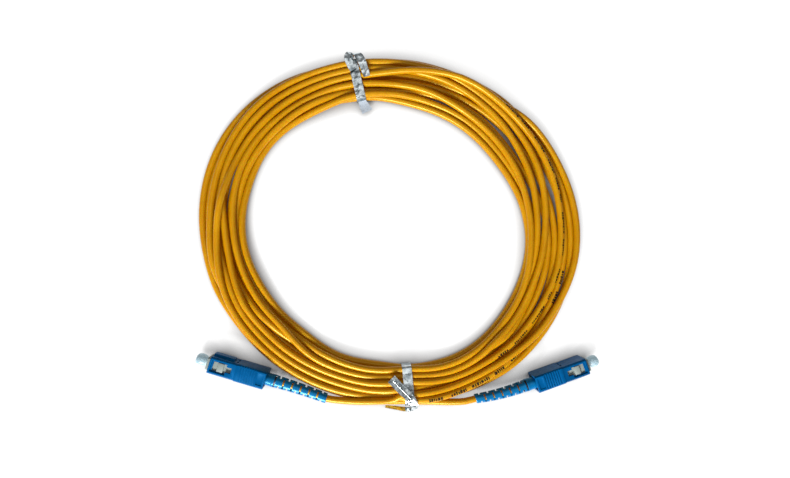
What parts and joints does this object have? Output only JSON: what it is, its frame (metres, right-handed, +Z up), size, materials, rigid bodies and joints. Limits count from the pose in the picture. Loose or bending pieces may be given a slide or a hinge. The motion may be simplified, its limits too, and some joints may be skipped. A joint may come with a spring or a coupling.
{
  "type": "fiber optic patch cord",
  "caption": "Simplex fibre patch cord, coiled and tied, with a push-pull plug, slotted boot and dust cap on each end.",
  "frame": {"origin": "on the surface that the cord lies on, under the middle of the box round both plugs and both ties", "axes": "+Z up from the surface; +X from the left plug towards the right plug; the coil lies on the +Y side of both"},
  "size_m": [0.1824, 0.1624, 0.0093],
  "materials": {
    "jacket_yellow": "smooth slightly glossy PVC jacket",
    "housing_blue": "moulded, satin",
    "boot_blue": "soft moulded, satin",
    "frame_ivory": "moulded, matt",
    "cap_clear": "translucent, soft gloss",
    "zirconia": "polished ceramic",
    "nickel": "nickel plated",
    "spring_steel": "drawn wire",
    "buffer_white": "extruded",
    "yarn_yellow": "bundled fibres",
    "foil": "crumpled metallised foil",
    "wire_steel": "drawn wire"
  },
  "bodies": {
    "cord": {"plug_frame_a": "frame_ivory", "spring_a": "spring_steel", "stop_ring_a": "nickel", "crimp_sleeve_a": "nickel", "jacket_ring_a": "nickel", "aramid_yarn_a": "yarn_yellow", "buffered_fibre_a": "buffer_white", "boot_a": "boot_blue", "cord_lead_a": "jacket_yellow", "plug_frame_b": "frame_ivory", "spring_b": "spring_steel", "stop_ring_b": "nickel", "crimp_sleeve_b": "nickel", "jacket_ring_b": "nickel", "aramid_yarn_b": "yarn_yellow", "buffered_fibre_b": "buffer_white", "boot_b": "boot_blue", "cord_lead_b": "jacket_yellow", "cord_coil": "jacket_yellow", "tie_top_ribbon": "foil", "tie_top_wire": "wire_steel", "tie_bottom_ribbon": "foil", "tie_bottom_wire": "wire_steel"},
    "housing_a": {"outer_housing_a": "housing_blue"},
    "ferrule_unit_a": {"ferrule_a": "zirconia", "ferrule_flange_a": "nickel"},
    "cap_a": {"dust_cap_a": "cap_clear"},
    "housing_b": {"outer_housing_b": "housing_blue"},
    "ferrule_unit_b": {"ferrule_b": "zirconia", "ferrule_flange_b": "nickel"},
    "cap_b": {"dust_cap_b": "cap_clear"}
  },
  "joints": [
    {"name": "housing_a_unlatch", "type": "slide", "parent": "cord", "child": "housing_a", "axis": [-0.9537, 0.3007, 0], "range_m": [-0.002, 0]},
    {"name": "ferrule_a_float", "type": "slide", "parent": "cord", "child": "ferrule_unit_a", "axis": [-0.9537, 0.3007, 0], "range_m": [-0.0015, 0], "stiffness_N_per_m": 1500, "deforming": ["spring_a"]},
    {"name": "cap_a_pull", "type": "slide", "parent": "cord", "child": "cap_a", "axis": [-0.9537, 0.3007, 0], "range_m": [0, 0.014]},
    {"name": "housing_b_unlatch", "type": "slide", "parent": "cord", "child": "housing_b", "axis": [0.9483, 0.3173, 0], "range_m": [-0.002, 0]},
    {"name": "ferrule_b_float", "type": "slide", "parent": "cord", "child": "ferrule_unit_b", "axis": [0.9483, 0.3173, 0], "range_m": [-0.0015, 0], "stiffness_N_per_m": 1500, "deforming": ["spring_b"]},
    {"name": "cap_b_pull", "type": "slide", "parent": "cord", "child": "cap_b", "axis": [0.9483, 0.3173, 0], "range_m": [0, 0.014]}
  ]
}
